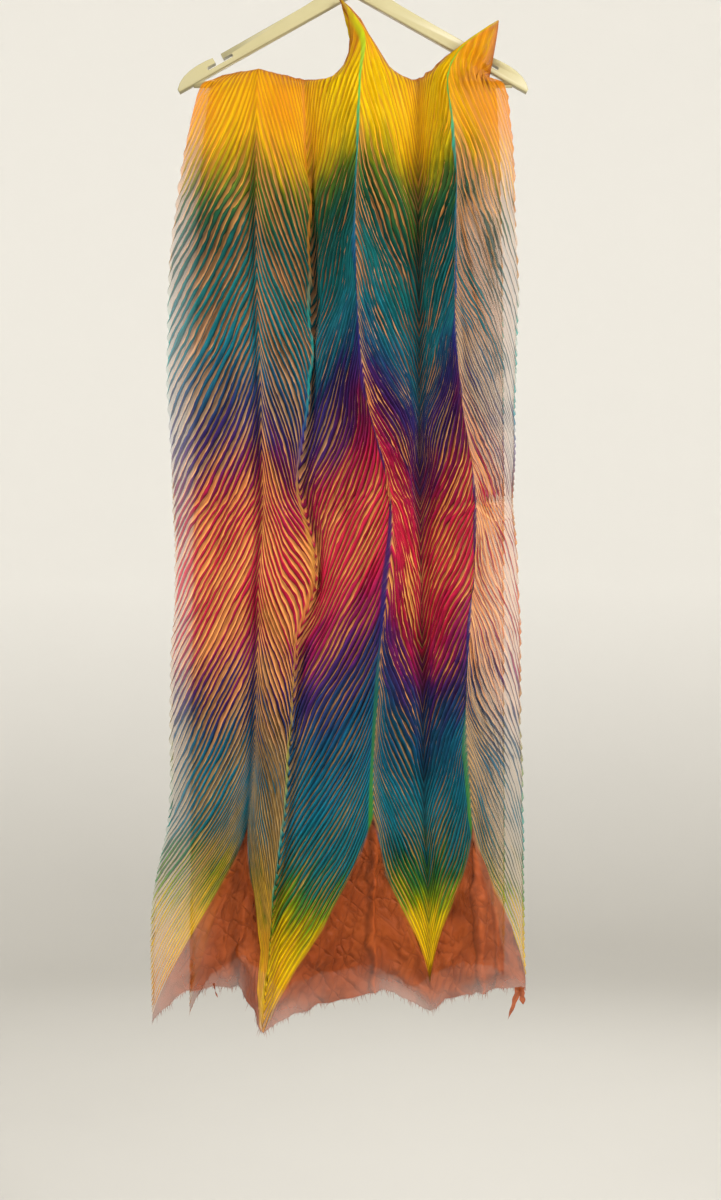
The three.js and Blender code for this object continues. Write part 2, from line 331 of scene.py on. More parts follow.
# The raw hems are uneven: how far each is cut back at places across, counted in folds.
HEM_CUT = (
    (0, 0), (0.15, 14), (0.4, 27), (0.8, 24), (1, 20), (1.7, 12), (2, 0), (2.12, 10), (2.5, 9), (3, 0),
    (3.4, 8), (4, 0), (4.3, 8), (5, 2), (5.6, 8), (6, 4),
)
HEM_WANDER = (0.4, 2.5, 41)
RIPPLE_WAVES = 20
RIPPLE_SPREAD = (0.7, 1.6)


# Unevenness: a sum of waves of about one size in seeded directions. Tables hold its size, height and seed.
def ripple(u, v, size, high, seed):
    rng = np.random.default_rng(seed)
    total = np.zeros(np.broadcast(u, v).shape)
    for _ in range(RIPPLE_WAVES):
        angle = rng.uniform(0, 2 * math.pi)
        rate = 2 * math.pi / (size * rng.uniform(*RIPPLE_SPREAD))
        start = rng.uniform(0, 2 * math.pi)
        total = total + np.cos(rate * (u * math.cos(angle) + v * math.sin(angle)) + start)
    return high * (total * math.sqrt(2 / RIPPLE_WAVES))


fold_drops = np.transpose(FOLD_DROPS)
counted_drops = fold_drops[COUNTED_FOLD]
drops = np.linspace(counted_drops[-1], counted_drops[0], COUNT_STEPS)
pitch = np.interp(drops, *np.transpose(PLEAT_PITCH))
counts = np.append(0, np.cumsum(-np.diff(drops) / ((pitch[1:] + pitch[:-1]) / 2)))
turn_pitch = pitch[-1]
climb = share + bow * share * (1 - share)
hooks = np.array(HOOKS)
hook = hooks[ridge] * np.exp((share - 1) / HOOK_REACH) + hooks[valley] * np.exp(-share / HOOK_REACH)
hem_cut = np.interp(fold, *np.transpose(HEM_CUT)) + np.abs(ripple(fold, 0, *HEM_WANDER))
counted = []
for c in range(wide):
    ridge_drop = np.interp(drops, counted_drops, fold_drops[ridge[c]])
    valley_drop = np.interp(drops, counted_drops, fold_drops[valley[c]])
    drop = valley_drop + (ridge_drop - valley_drop) * climb[c] + hook[c]
    seat = np.interp(0, drop[::-1], counts[::-1])
    kept = drop > EASE_PLEATS * turn_pitch / 2
    top = seat + (run_top[c] - run_front[c]) / turn_pitch
    spare = run_top[c] + SPARE_PLEATS * turn_pitch
    along = [*(run_front[c] - drop[kept]), run_front[c], run_top[c], spare]
    counted.append(([*counts[kept], seat, top, top + SPARE_PLEATS], along, top))
pleats = math.ceil(max(top for _, _, top in counted)) + EASE_PLEATS
number = np.arange(pleats * PLEAT_ROWS + 1) / PLEAT_ROWS
slant_count = np.append(-np.arange(HEM_ROWS, 0, -1) / PLEAT_ROWS, number)
# Each slanting row of the mesh follows one count: its runs from the top, negative in front, by column.
slanting = np.zeros((len(slant_count), wide))
for c, (known, along, _) in enumerate(counted):
    ease = EASE_PLEATS * PLEAT_ROWS
    padded_run = np.pad(np.interp(number, known, along), ease, mode="reflect", reflect_type="odd")
    run = np.convolve(padded_run, np.hanning(2 * ease + 1) / ease, mode="valid")
    slanting[:, c] = np.append(np.linspace(hem_cut[c], run[0], HEM_ROWS, endpoint=False), run) - run_top[c]

# The cloth's shape and colours are worked out on level rows, from the front hem over the bar to the back.
LEVEL_ROWS = 1500
rows = hem_cut + (run_end - 2 * hem_cut) * np.linspace(0, 1, LEVEL_ROWS)[:, None]
on_front = rows < run_top
back_share = (run_end - hem_cut - run_top) / (run_top - hem_cut)
folded = np.where(on_front, rows - run_top, (run_top - rows) / back_share)
count = np.stack([np.interp(folded[:, c], slanting[:, c], slant_count) for c in range(wide)], axis=1)
cloth = np.zeros((LEVEL_ROWS, wide, 3))
for c in range(wide):
    for axis in range(3):
        cloth[:, c, axis] = np.interp(rows[:, c], runs[c], paths[c][:, axis])
front_drop = run_front - rows
drop = np.maximum(front_drop, rows - run_back)
to_hem = np.minimum(rows - rows[0], rows[-1] - rows)
from_top = rows - run_top


def outward(points):
    along = np.gradient(points, axis=0)
    across = np.gradient(points, axis=1)
    normal = np.cross(across, along)
    return normal / np.maximum(np.linalg.norm(normal, axis=2, keepdims=True), 1e-9)


def rise(value, start, over):
    return np.clip((value - start) / over, 0, 1)


def bell(off, half):
    return np.exp(-((off / half) ** 2))


# Halfway down, the lip of fold 2 hangs out to the right as a loose flap: how far, by drop.
LIP_FLAP = ((485, 0), (530, 14), (560, 22), (600, 23), (640, 10), (668, 0))
FLAP_LEFT = 0.4
FLAP_RIGHT = 0.6
FLAP_POINTED = 1.5
flap = np.where(fold < 2, 1 - (2 - fold) / FLAP_LEFT, 1 - (fold - 2) / FLAP_RIGHT)
flap = np.clip(flap, 0, 1) ** FLAP_POINTED
cloth[:, :, 0] += on_front * flap * np.interp(front_drop, *np.transpose(LIP_FLAP))

# Soft creases in the front half: place across and below the bar, half its length and width, how far it
# stands out, and how far it leans from upright. The first four are the line where the cloth was stored.
CREASES = (
    (-168, 508, 62, 9, -3.5, 86),
    (-20, 498, 66, 10, -4, 94),
    (112, 512, 40, 8, -3, 88),
    (168, 506, 36, 9, -3.5, 96),
    (-170, 330, 150, 22, -4, 3),
    (-186, 700, 170, 18, 4, 2),
    (-190, 1010, 70, 9, -5, -14),
    (-160, 1040, 60, 8, 5, 10),
    (-118, 1050, 50, 7, -4, -20),
    (-40, 1020, 60, 9, 4, 28),
    (-10, 1060, 46, 7, -4, -16),
    (23, 990, 95, 6, 10, 0),
    (58, 1030, 52, 8, -4, 14),
    (120, 1035, 52, 8, 4, -24),
    (150, 1000, 85, 6, 9, 2),
    (168, 1020, 80, 8, 10, -9),
    (178, 1045, 46, 7, -5, 12),
)
# Tucks along the folds: place counted in folds, half width in folds, and how far they stand out.
TUCKS = ((0.90, 0.06, -7), (2.08, 0.06, -6), (3.90, 0.07, -3), (4.10, 0.08, -4))
# Swells below the bar and crinkles in the plain ends: size, height, seed, and how much longer than wide.
SWELLS = ((110, 2.4, 11, 1), (42, 2.0, 12, 4), (22, 0.5, 13, 1.5))
CRINKLES = ((34, 2.6, 21, 1.4), (19, 1.4, 22, 1))
# Over the bar it is crinkled by the pleats' ends, up to this far from the top.
TOP_CRINKLE = (15, 1.4, 51)
TOP_CRINKLE_REACH = 9
# bare is the plain silk below the last pleat, and loose is how free the cloth is of the bar.
BARE_EDGE = 12
LOOSE = (25, 90)
bare = np.where(count > 0, 0, np.clip(0.5 - BARE_EDGE * count * PLEAT_ROWS / HEM_ROWS, 0, 1))
loose = rise(drop, *LOOSE)
lift = np.zeros_like(rows)
for waves, where_loose in ((SWELLS, loose), (CRINKLES, bare)):
    for size, high, seed, longer in waves:
        lift += where_loose * ripple(cloth[:, :, 0], rows / longer, size, high, seed)
for middle, half, stand in TUCKS:
    lift += on_front * loose * (1 - bare) * stand * bell(fold - middle, half)
for across, below, length, width, stand, lean in CREASES:
    side = cloth[:, :, 0] - across
    down = front_drop - below
    turn = math.radians(lean)
    along = down * math.cos(turn) + side * math.sin(turn)
    off = side * math.cos(turn) - down * math.sin(turn)
    lift += on_front * stand * bell(along, length) * bell(off, width)
lift += np.abs(ripple(cloth[:, :, 0], 0 * rows, *TOP_CRINKLE)) * bell(from_top, TOP_CRINKLE_REACH)
cloth = cloth + lift[:, :, None] * outward(cloth)

# The pleats' own unevenness: they crowd, spread and waver, jog sideways where the cloth was stored folded,
# and don't meet at the lip of fold 2, by a step that fades out over the next panel.
CROWDED = (3.2, 0.09, 31)
WAVERS = ((230, 0.16, 32), (70, 0.08, 38), (28, 0.05, 39))
STORE_DROP = 506
STORE_HALF = 17
STORE_WANDER = (120, 6, 33)
JOG = -1.0
LIP_MISMATCH = 0.5
LIP_WANDER = (120, 0.2, 37)
LIP_STEP = (1.97, 0.06)
LIP_FADE = (2.0, 0.9)
phase = count + ripple(count, 0, *CROWDED)
for waver in WAVERS:
    phase = phase + ripple(cloth[:, :, 0], rows, *waver)
lip_jump = LIP_MISMATCH + ripple(rows, 0, *LIP_WANDER)
phase += lip_jump * rise(fold, *LIP_STEP) * (1 - rise(fold, *LIP_FADE))
store = (front_drop - STORE_DROP - ripple(cloth[:, :, 0], 0 * rows, *STORE_WANDER)) / STORE_HALF
phase += JOG * on_front * (1 + np.tanh(store)) / 2
# The edges and the lip are scalloped by the pleats: fold, half width in folds, and depth.
SCALLOPS = ((0, 0.02, 1.3), (2, 0.035, 1.2), (6, 0.02, 1.3))
for middle, half, deep in SCALLOPS:
    scallop = deep * np.cos(2 * math.pi * phase) * bell(fold - middle, half)
    cloth[:, :, 0] += scallop * loose * (1 - bare)

# Pleats stand higher the wider they lie, square to their own run. They are lower towards the plain ends,
# in a flattened band, and at the top, near the bar and at the ridges: how far each of these three reaches,
# over what it ends, and how much of the height is lost.
FADE_PLEATS = 2.5
UNEVEN_HEIGHT = (60, 0.2, 35)
FLATTENED_DROP = 590
FLATTENED_HALF = 90
FLATTENED = 0.25
FULLEST = 1.4
WIDEST_PLEAT = 30
fullness = rise(count, 0, FADE_PLEATS)
fullness *= 1 + ripple(cloth[:, :, 0], rows, *UNEVEN_HEIGHT)
fullness *= 1 - FLATTENED * on_front * bell(front_drop - FLATTENED_DROP, FLATTENED_HALF)
for measure, start, over, lost in (
    (np.abs(from_top), 6, 30, 0.88),
    (drop, 60, 140, 0.4),
    (1 - share, 0.05, 0.09, 0.85),
):
    fullness *= 1 - lost + lost * rise(measure, start, over)
counts_across = np.abs(np.diff(count, axis=1)) / np.linalg.norm(np.diff(cloth, axis=1), axis=2)
to_left = np.pad(counts_across, ((0, 0), (1, 0)), mode="edge")
to_right = np.pad(counts_across, ((0, 0), (0, 1)), mode="edge")
counts_along = np.abs(np.gradient(count, axis=0) / np.gradient(rows, axis=0))
counts_along = np.maximum(counts_along, 1 / WIDEST_PLEAT)
pleats_wide = 1 / np.hypot(np.maximum(to_left, to_right), counts_along)
stand = np.clip(fullness, 0, FULLEST) * pleats_wide * MM

# The dyes were poured in bands, so a band's place is its drop, set back by so much at each fold, by drop.
# warm is how orange the yellow is for each fold and each panel's middle. One flank of each pleat took the
# dye, and the other was bound inside. Less took it in the orange patches: place across and below the bar,
# half width and height, and how much less. More took it where fold 4 stayed shut and left of the ridges.
DYE_CLIMB = (
    (60, (20, 35, 0, 40, 0, 45, 0)),
    (350, (15, 45, 15, 115, 10, 105, 0)),
    (700, (0, 45, 15, 78, 10, 55, 0)),
    (940, (10, -5, -25, -30, 0, -20, 0)),
)
WARM = (0.95, 0.35, 0.6, 0.75, 0.6, 0.0, 0.1, 0.05, 0.45, 0.0, 0.3, 0.7, 0.9)
RED_PLACE = 600
RED_HALF = 125
RED_DRIER = 0.9
UNEVEN_PLEATS = (2.3, 0.07, 36)
UNEVEN_DYE = (55, 0.06, 43)
SHUT_FOLD = 4
SHUT_HALF = 0.12
SHUT_DYED = 0.4
SHUT_BELOW = 200
RIDGE_LEFT = 0.5
RIDGE_RIGHT = -0.1
RIDGE_REACH = (0.88, 0.1)
ORANGE_PATCHES = ((-50, 585, 14, 60, 0.14), (66, 620, 13, 70, 0.28), (168, 600, 20, 70, 0.2))
folded_drop = run_front - run_top - folded
climb_drops = [below for below, _ in DYE_CLIMB]
climbs = np.stack([between(by_fold, share) for _, by_fold in DYE_CLIMB])
set_back = np.stack([np.interp(folded_drop[:, c], climb_drops, climbs[:, c]) for c in range(wide)], axis=1)
place = folded_drop + set_back
red = bell(place - RED_PLACE, RED_HALF)
at_valley = np.array(dyed_shares[::2])
at_ridge = np.array(dyed_shares[1::2])
in_blue, in_red, in_low = at_valley + (at_ridge - at_valley) * share
dyed = np.where(place < RED_PLACE, in_blue, in_low)
dyed = dyed + (in_red - dyed) * red + ripple(count, 0, *UNEVEN_PLEATS)
dyed += ripple(cloth[:, :, 0], rows, *UNEVEN_DYE)
dyed += SHUT_DYED * bell(fold - SHUT_FOLD, SHUT_HALF) * rise(drop, 0, SHUT_BELOW)
dyed += np.where(rising, RIDGE_LEFT, RIDGE_RIGHT) * rise(share, *RIDGE_REACH)
for across, below, half_wide, half_tall, less in ORANGE_PATCHES:
    patch = bell(cloth[:, :, 0] - across, half_wide) * bell(front_drop - below, half_tall)
    dyed -= on_front * less * patch
soak = soaked * (1 - RED_DRIER * red)
warm = np.interp(fold, np.arange(2 * PANELS + 1) / 2, WARM) * np.ones_like(rows)
across_fold = fold * np.ones_like(rows)

# open is how far what is behind shows through: most at the two edges, where the silk was bound least, and
# along the hems and just in front of the top. over_bar is the fold that lay outermost on the pole.
LEFT_OPEN = 0.3
LEFT_OPEN_LOW = 0.5
LEFT_LOW = (860, 150)
RIGHT_SHUTS = 0.55
RIGHT_BARE_SHUTS = 0.6
TOP_OPEN = 0.25
TOP_OPENS = (40, 150)
HEM_OPEN = 0.5
HEM_UNEVEN = (1.1, 0.25, 44)
HEM_OPEN_REACH = 18
BAR_OPEN = 0.6
BAR_OPEN_AT = -11
BAR_OPEN_HALF = 9
OUTERMOST_HALF = 7
left_reach = LEFT_OPEN + LEFT_OPEN_LOW * rise(drop, *LEFT_LOW)
left_open = np.where(panel == 0, np.clip(1 - share / left_reach, 0, 1), 0)
right_open = (1 - RIGHT_SHUTS * share) * (1 - RIGHT_BARE_SHUTS * bare)
edge_open = np.where(panel == PANELS - 1, right_open, left_open)
edge_open = edge_open * (TOP_OPEN + (1 - TOP_OPEN) * rise(drop, *TOP_OPENS))
hem_open = np.clip(HEM_OPEN + ripple(fold, 0, *HEM_UNEVEN), 0, 1)
open_silk = np.maximum(edge_open, hem_open * bell(to_hem, HEM_OPEN_REACH))
open_silk = np.maximum(open_silk, BAR_OPEN * bell(from_top - BAR_OPEN_AT, BAR_OPEN_HALF))
over_bar = bell(from_top, OUTERMOST_HALF)

# The mesh is laid out flat, by column and by run from the top, with rows that slant with the pleats. They
# are too coarse to bend round the bar, so they are cut level there. The front half is then mirrored for
# the back, and both are set in place.
CUT_BELOW = 14
CUTS = 7
JOIN_FLAT = 1e-3
cloth[:, :, 2] += bar_z
cloth *= MM
sheet = bpy.data.meshes.new("pleated_silk")
laid_flat = np.stack([np.arange(wide) + 0 * slanting, slanting, 0 * slanting], axis=2)
corner = np.arange(slanting.size).reshape(slanting.shape)
faces = np.stack([corner[:-1, :-1], corner[:-1, 1:], corner[1:, 1:], corner[1:, :-1]], axis=2)
sheet.from_pydata(laid_flat.reshape(-1, 3).tolist(), [], faces.reshape(-1, 4).tolist())
weave = bmesh.new()
weave.from_mesh(sheet)
for level in np.linspace(0, -CUT_BELOW, CUTS):
    bmesh.ops.bisect_plane(
        weave,
        geom=weave.verts[:] + weave.edges[:] + weave.faces[:],
        plane_co=(0, level, 0),
        plane_no=(0, 1, 0),
        dist=JOIN_FLAT,
        clear_outer=bool(level == 0),
    )
copied = bmesh.ops.duplicate(weave, geom=weave.verts[:] + weave.edges[:] + weave.faces[:])["geom"]
bmesh.ops.reverse_faces(weave, faces=[part for part in copied if isinstance(part, bmesh.types.BMFace)])
for part in copied:
    if isinstance(part, bmesh.types.BMVert):
        part.co.y = -part.co.y
at_the_top = [vertex for vertex in weave.verts if abs(vertex.co.y) < JOIN_FLAT]
bmesh.ops.remove_doubles(weave, verts=at_the_top, dist=JOIN_FLAT)
weave.to_mesh(sheet)
weave.free()
spots = np.zeros(len(sheet.vertices) * 3, np.float32)
sheet.vertices.foreach_get("co", spots)
spots = spots.reshape(-1, 3)
left_of = np.clip(np.floor(spots[:, 0] + JOIN_FLAT).astype(int), 0, wide - 2)


def set_in_place(values):
    placed = np.zeros(len(spots), np.float32)
    for c in range(wide - 1):
        here = np.flatnonzero(left_of == c)
        beside = []
        for n in (c, c + 1):
            run = run_top[n] + spots[here, 1] * np.where(spots[here, 1] > 0, back_share[n], 1)
            beside.append(np.interp(run, rows[:, n], values[:, n]))
        placed[here] = beside[0] + (beside[1] - beside[0]) * (spots[here, 0] - c)
    return placed


set_points = np.stack([set_in_place(cloth[:, :, axis]) for axis in range(3)], axis=1)
sheet.vertices.foreach_set("co", set_points.ravel())
stored = {"pleat": phase, "stand": stand, "place": place, "dyed": dyed, "soak": soak, "warm": warm}
stored.update({"fold": across_fold, "bare": bare, "open": open_silk, "over_bar": over_bar})
for name, values in stored.items():
    sheet.attributes.new(name, "FLOAT", "POINT").data.foreach_set("value", set_in_place(values))
sheet.shade_smooth()

# Dyed silk organza: sheer, crisp and softly shining. Acid dyes give clear, saturated bands that bleed into
# each other, and the silk that was bound inside the pleats keeps its first coral and peach dye. Colours by
# place down the cloth: of the dyed flanks, of the bound flanks, and of the lines on the ridges and the lip.
PLACE_LOW = -60
PLACE_HIGH = 1180
DYES = (
    (-60, "#CC7A0A"), (15, "#E8C400"), (84, "#E4BE00"), (116, "#B0A006"), (148, "#4E7014"),
    (184, "#1E5632"), (222, "#0E4E46"), (285, "#0E6464"), (350, "#146A78"), (398, "#18486A"),
    (430, "#28245E"), (462, "#3C1C5C"), (498, "#64144C"), (535, "#9C1440"), (595, "#BE203E"),
    (667, "#B21A40"), (712, "#801652"), (742, "#421C5C"), (768, "#242C5C"), (802, "#104A6A"),
    (856, "#10687C"), (908, "#0E6064"), (940, "#18602E"), (972, "#6E8A10"), (1000, "#D4B408"),
    (1060, "#E8B408"), (1120, "#CC8228"), (1180, "#B4562C"),
)
BOUND = (
    (-60, "#D07A10"), (40, "#DCA40A"), (96, "#DCA010"), (150, "#B07A3A"), (240, "#A06C3C"),
    (330, "#AE7646"), (440, "#A88660"), (520, "#E08A48"), (620, "#EA984E"), (720, "#DC8E4C"),
    (800, "#A8804E"), (900, "#A07C40"), (975, "#C49430"), (1030, "#DE9E24"), (1120, "#C8783A"),
    (1180, "#B4562C"),
)
RIDGE_EDGE = (
    (-60, "#E2C00C"), (-10, "#B4CC1C"), (50, "#54C050"), (130, "#22A088"), (200, "#0E7486"),
    (340, "#164C84"), (420, "#221E70"), (500, "#441860"), (620, "#38164E"), (740, "#22246A"),
    (800, "#1C6450"), (880, "#3E8A2A"), (960, "#4C8220"), (1010, "#B88228"), (1180, "#B85A34"),
)
LIP_EDGE = (
    (-60, "#C8781C"), (150, "#E08C2C"), (230, "#D89030"), (290, "#38B4A4"), (390, "#34B0AC"),
    (440, "#3A3C96"), (500, "#B88838"), (560, "#D8A03C"), (640, "#D8843C"), (740, "#C4943C"),
    (820, "#A0A848"), (900, "#34A8A0"), (980, "#4C9A48"), (1040, "#D8B81C"), (1180, "#B85A34"),
)
# Noises through the silk, by size, detail and roughness: the bleeding of the dye, and the crinkle of the
# crisp silk, which stands in for threads a tenth of a millimetre thick, too fine to show.
BLEED = (55, 3.0, 0.6)
CRINKLE = (12, 1.0, 0.5)
silk = new_material("dyed_silk_organza")
tree = silk.node_tree
read = {
    name: add_node(tree, "ShaderNodeAttribute", attribute_name=name).outputs["Fac"]
    for name in ("pleat", "place", "dyed", "soak", "warm", "fold", "bare", "open", "over_bar")
}
where = add_node(tree, "ShaderNodeTexCoord").outputs["Object"]
bleed, crinkle = (
    add_node(
        tree, NOISE, {"Vector": where, "Scale": 1 / (size * MM), "Detail": detail, "Roughness": rough}
    )
    for size, detail, rough in (BLEED, CRINKLE)
)


def apart(tree, value, middle):
    off = add_node(tree, MATH, [value, middle], operation="SUBTRACT")
    return add_node(tree, MATH, [off], operation="ABSOLUTE")


# Two noises run along the pleats: one changes from pleat to pleat, the other draws streaks within one.
ALONG = 2.5
EACH_PLEAT = 0.85
STREAKS = 4.5
on_pleat = add_node(tree, "ShaderNodeCombineXYZ", {"X": read["pleat"], "Y": read["fold"]})
on_pleat = add_node(tree, VECTOR_MATH, [on_pleat, (1.0, ALONG, 0.0)], operation="MULTIPLY")
each_pleat, streaks = (
    add_node(tree, NOISE, {"Vector": on_pleat, "Scale": scale, "Detail": 1.0}, noise_dimensions="2D")
    for scale in (EACH_PLEAT, STREAKS)
)
each_pleat = add_node(tree, "ShaderNodeSeparateColor", [each_pleat.outputs["Color"]]).outputs

# The bands of dye lie further up or down as it bled and from pleat to pleat. The lines keep their places.
BLEED_SHIFT = 32.0
PLEAT_SHIFT = 42.0
band = read["place"]
for noise, far in ((bleed, BLEED_SHIFT), (each_pleat["Red"], PLEAT_SHIFT)):
    shift = add_node(tree, RANGE, [noise, 0.0, 1.0, -far, far])
    band = add_node(tree, MATH, [band, shift], operation="ADD")
ramps = {}
for name, stops, along in (
    ("dye", DYES, band),
    ("bound", BOUND, band),
    ("ridge", RIDGE_EDGE, read["place"]),
    ("lip", LIP_EDGE, read["place"]),
):
    along = add_node(tree, RANGE, [along, PLACE_LOW, PLACE_HIGH])
    node = add_node(tree, "ShaderNodeValToRGB", {"Fac": along})
    while len(node.color_ramp.elements) < len(stops):
        node.color_ramp.elements.new(0.5)
    for element, (mm, hex_colour) in zip(node.color_ramp.elements, stops):
        element.position = (mm - PLACE_LOW) / (PLACE_HIGH - PLACE_LOW)
        element.color = linear(hex_colour)
    ramps[name] = node

# The dyed flank: a band round one side of each pleat's crest, as wide as its share, with soft edges. It
# swells and thins along the pleat.
SOFT_EDGE = 0.1
FLANK_SHIFT = 0.22
EDGE_CRINKLE = 0.14
EDGE_RAGGED = 0.16
crinkled = add_node(
    tree, RANGE, [crinkle, 0.0, 1.0, FLANK_SHIFT - EDGE_CRINKLE, FLANK_SHIFT + EDGE_CRINKLE]
)
shifted = add_node(tree, MATH, [read["pleat"], crinkled], operation="ADD")
from_flank = add_node(tree, MATH, [shifted, 0.5], operation="PINGPONG")
ragged = add_node(tree, RANGE, [each_pleat["Green"], 0.0, 1.0, -EDGE_RAGGED, EDGE_RAGGED])
from_flank = add_node(tree, MATH, [from_flank, ragged], operation="ADD")
half_share = add_node(tree, MATH, [read["dyed"], 0.5], operation="MULTIPLY")
inside = add_node(tree, MATH, [half_share, from_flank], operation="SUBTRACT")
took_dye = add_node(tree, RANGE, [inside, -SOFT_EDGE / 2, SOFT_EDGE / 2], interpolation_type="SMOOTHSTEP")
soaking = add_node(tree, MATH, [took_dye, read["soak"]], operation="MAXIMUM")
layers = [(soaking, ramps["dye"], "MIX")]

# Near the bar the yellow turns orange on some folds, from one place up to another.
ORANGE_FROM = 170.0
ORANGE_FULL = 60.0
ORANGEST = 0.85
top_zone = add_node(tree, RANGE, [read["place"], ORANGE_FROM, ORANGE_FULL, 0.0, ORANGEST])
warmth = add_node(tree, MATH, [top_zone, read["warm"]], operation="MULTIPLY")
layers.append((warmth, linear("#D87A0A"), "MIX"))

# Painted shade darkens the grooves between the pleats and the rim of each dyed flank, and a painted
# highlight pales the crests; the dye also lies deeper in streaks along each pleat. For each: from where to
# where, and how much of the colour is left at those two.
RIM_PLACE = 0.05
from_crest = add_node(tree, MATH, [read["pleat"], 0.5], operation="PINGPONG")
streaks_and_painted_light = 1.0
for measure, start, end, left_at_start, left_at_end in (
    (from_crest, 0.1, 0.5, 1.25, 0.42),
    (streaks, 0.0, 1.0, 0.5, 1.45),
    (from_crest, 0.0, 0.1, 1.45, 1.0),
    (apart(tree, inside, RIM_PLACE), 0.0, 0.08, 0.4, 1.0),
):
    left = add_node(tree, RANGE, [measure, start, end, left_at_start, left_at_end])
    streaks_and_painted_light = add_node(tree, MATH, [streaks_and_painted_light, left], operation="MULTIPLY")
# The painted shade, painted highlight and streaks show least in the yellow by the bar, and less again in
# the low yellow: between which places they change, and their strength after them.
painted_light_and_streak_strength = 0.3
for start, end, after in ((60.0, 160.0, 1.0), (930.0, 1010.0, 0.6)):
    painted_light_and_streak_strength = add_node(tree, RANGE, [read["place"], start, end, painted_light_and_streak_strength, after])
# Painted shade and painted highlights, with the dye streaks, are multiplied into the colour.
layers.append((painted_light_and_streak_strength, streaks_and_painted_light, "MULTIPLY"))

# The binding marked thin lines down the left of the two high ridges, down the lip of fold 2 and down both
# edges. Each has its middle and half its width, counted in folds, its colours, its strength, and how much
# of that is left between the crests of the pleats. They broaden over the bar.
FOLD_LINES = (
    (2.975, 0.028, "ridge", 0.95, 0.95),
    (4.97, 0.032, "ridge", 0.95, 0.95),
    (1.965, 0.03, "lip", 0.7, 0.92),
    (0.0, 0.03, "lip", 0.7, 0.6),
    (6.0, 0.03, "lip", 0.7, 0.6),
)
LINE_CORE = 0.4
CREST_HALF = 0.15
GROOVE_FROM = 0.42
BROADER_FROM = 40.0
BROADEST_AT = -60.0
BROADEST = 2.0
broader = add_node(tree, RANGE, [read["place"], BROADER_FROM, BROADEST_AT, 1.0, BROADEST])
for middle, half, ramp, strength, between_crests in FOLD_LINES:
    off = apart(tree, read["fold"], middle)
    off = add_node(tree, MATH, [off, broader], operation="DIVIDE")
    line = add_node(tree, RANGE, [off, half, half * LINE_CORE, 0.0, strength])
    broken = add_node(tree, RANGE, [from_crest, CREST_HALF, GROOVE_FROM, 1.0, between_crests])
    line = add_node(tree, MATH, [line, broken], operation="MULTIPLY")
    layers.append((line, ramps[ramp], "MIX"))

# Painted shade darkens narrow lines along some folds: middle and half width in folds, and how much of the
# colour is left.
PAINTED_FOLD_SHADE = ((0.96, 0.07, 0.5), (2.05, 0.07, 0.5), (4.0, 0.09, 0.35))
for middle, half, left in PAINTED_FOLD_SHADE:
    off = apart(tree, read["fold"], middle)
    fold_shade = add_node(tree, RANGE, [off, 0.0, half, left])
    # Painted shade along the fold.
    layers.append((painted_light_and_streak_strength, fold_shade, "MULTIPLY"))

# The ends were outside the binding, so they are plain coral, mottled where the dye bath settled, and
# crumpled into long creases that lean two ways, with painted shade darkening their lines.
CORAL_DARK = linear("#7A2C0C")
CORAL_LIGHT = linear("#BA5E2A")
CRUMPLE_MM = 20
CRUMPLE_LONGER = 0.22
CRUMPLE_LEANS = (-18, 50)
CREASE_HALF = 0.02
CREASE_SHADE_LEFT = 0.8
crumple = 1.0
for lean in CRUMPLE_LEANS:
    along = add_node(
        tree,
        "ShaderNodeVectorRotate",
        {"Vector": where, "Angle": math.radians(lean)},
        rotation_type="Y_AXIS",
    )
    along = add_node(tree, VECTOR_MATH, [along, (1.0, 1.0, CRUMPLE_LONGER)], operation="MULTIPLY")
    bend = add_node(
        tree, NOISE, {"Vector": along, "Scale": 1 / (CRUMPLE_MM * MM), "Detail": 1.0, "Roughness": 0.5}
    )
    off = apart(tree, bend, 0.5)
    crumple = add_node(tree, MATH, [crumple, off], operation="MINIMUM")
# Painted shade along the crease lines.
crease_shade = add_node(tree, RANGE, [crumple, 0.0, CREASE_HALF, CREASE_SHADE_LEFT])
coral_layers = [(bleed, CORAL_LIGHT, "MIX"), (1.0, crease_shade, "MULTIPLY")]
# The ridges go on through the plain ends as pressed folds, with painted shade on one side and a painted
# highlight on the other: middle and half width in folds, and how much of the colour is left. They wander
# as the dye bled.
PAINTED_FOLD_LIGHT = (
    (0.93, 0.08, 0.72), (1.06, 0.06, 1.2), (2.965, 0.045, 0.6), (3.03, 0.04, 1.35), (4.95, 0.05, 0.65),
    (5.04, 0.05, 1.35), (5.3, 0.06, 0.72), (5.38, 0.05, 1.25), (2.55, 0.05, 0.82), (3.5, 0.05, 0.85),
)
PRESSED_WANDER = 0.12
bent = add_node(tree, RANGE, [bleed, 0.0, 1.0, -PRESSED_WANDER, PRESSED_WANDER])
bent = add_node(tree, MATH, [read["fold"], bent], operation="ADD")
for middle, half, left in PAINTED_FOLD_LIGHT:
    off = apart(tree, bent, middle)
    # Painted shade where less than all the colour is left, a painted highlight where more is.
    fold_light = add_node(tree, RANGE, [off, 0.0, half, left], interpolation_type="SMOOTHSTEP")
    coral_layers.append((1.0, fold_light, "MULTIPLY"))
# The fold over the bar, outermost on the pole, is browner.
layers.append((read["bare"], laid_over(tree, CORAL_DARK, coral_layers), "MIX"))
layers.append((read["over_bar"], linear("#9C4A1C"), "MIX"))
colour = laid_over(tree, ramps["bound"], layers)

